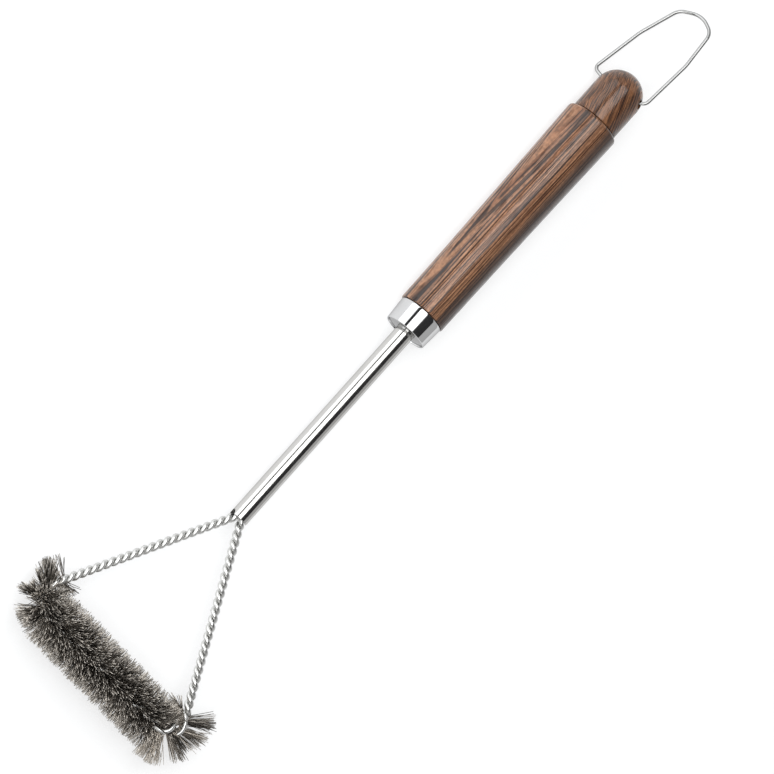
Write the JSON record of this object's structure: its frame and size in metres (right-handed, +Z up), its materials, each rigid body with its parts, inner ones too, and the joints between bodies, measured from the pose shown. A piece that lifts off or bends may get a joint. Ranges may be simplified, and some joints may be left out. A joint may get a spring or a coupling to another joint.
{
  "type": "grill cleaning brush",
  "caption": "Long-handled grill brush: wooden grip, steel shaft, triangular twisted-wire head with a bristle roll across its front, and a swinging wire loop for hanging.",
  "frame": {"origin": "below the middle of the brush's bounding box, on the flat surface that it lies on", "axes": "+Y along the handle from the bristle head towards the hanging loop, +Z up off the surface, +X to the right corner of the wire triangle seen from above"},
  "size_m": [0.1426, 0.512, 0.0326],
  "materials": {
    "grip_wood": "satin",
    "cap_wood": "satin",
    "dowel_wood": "matte",
    "polished_steel": "polished",
    "bright_wire": "gloss",
    "bristle_pack": "satin"
  },
  "bodies": {
    "brush": {"grip": "grip_wood", "end_cap": "cap_wood", "cap_dowel": "dowel_wood", "ferrule": "polished_steel", "shaft_tube": "polished_steel", "shaft_pin": "bright_wire", "wire_wedge": "bright_wire", "left_arm_strand_a": "bright_wire", "left_arm_strand_b": "bright_wire", "right_arm_strand_a": "bright_wire", "right_arm_strand_b": "bright_wire", "bar_strand_a": "bright_wire", "bar_strand_b": "bright_wire", "bristle_roll": "bristle_pack", "left_corner_tuft_1": "bristle_pack", "left_corner_tuft_2": "bristle_pack", "left_corner_tuft_3": "bristle_pack", "right_corner_tuft_1": "bristle_pack", "right_corner_tuft_2": "bristle_pack", "right_corner_tuft_3": "bristle_pack"},
    "loop": {"hanging_loop": "polished_steel"}
  },
  "joints": [
    {"name": "loop_swing", "type": "hinge", "parent": "brush", "child": "loop", "pos_m": [0, 0.18981, 0.0163], "axis": [0.7193, 0, 0.6947], "range_deg": [-151.8, 168.2]}
  ]
}
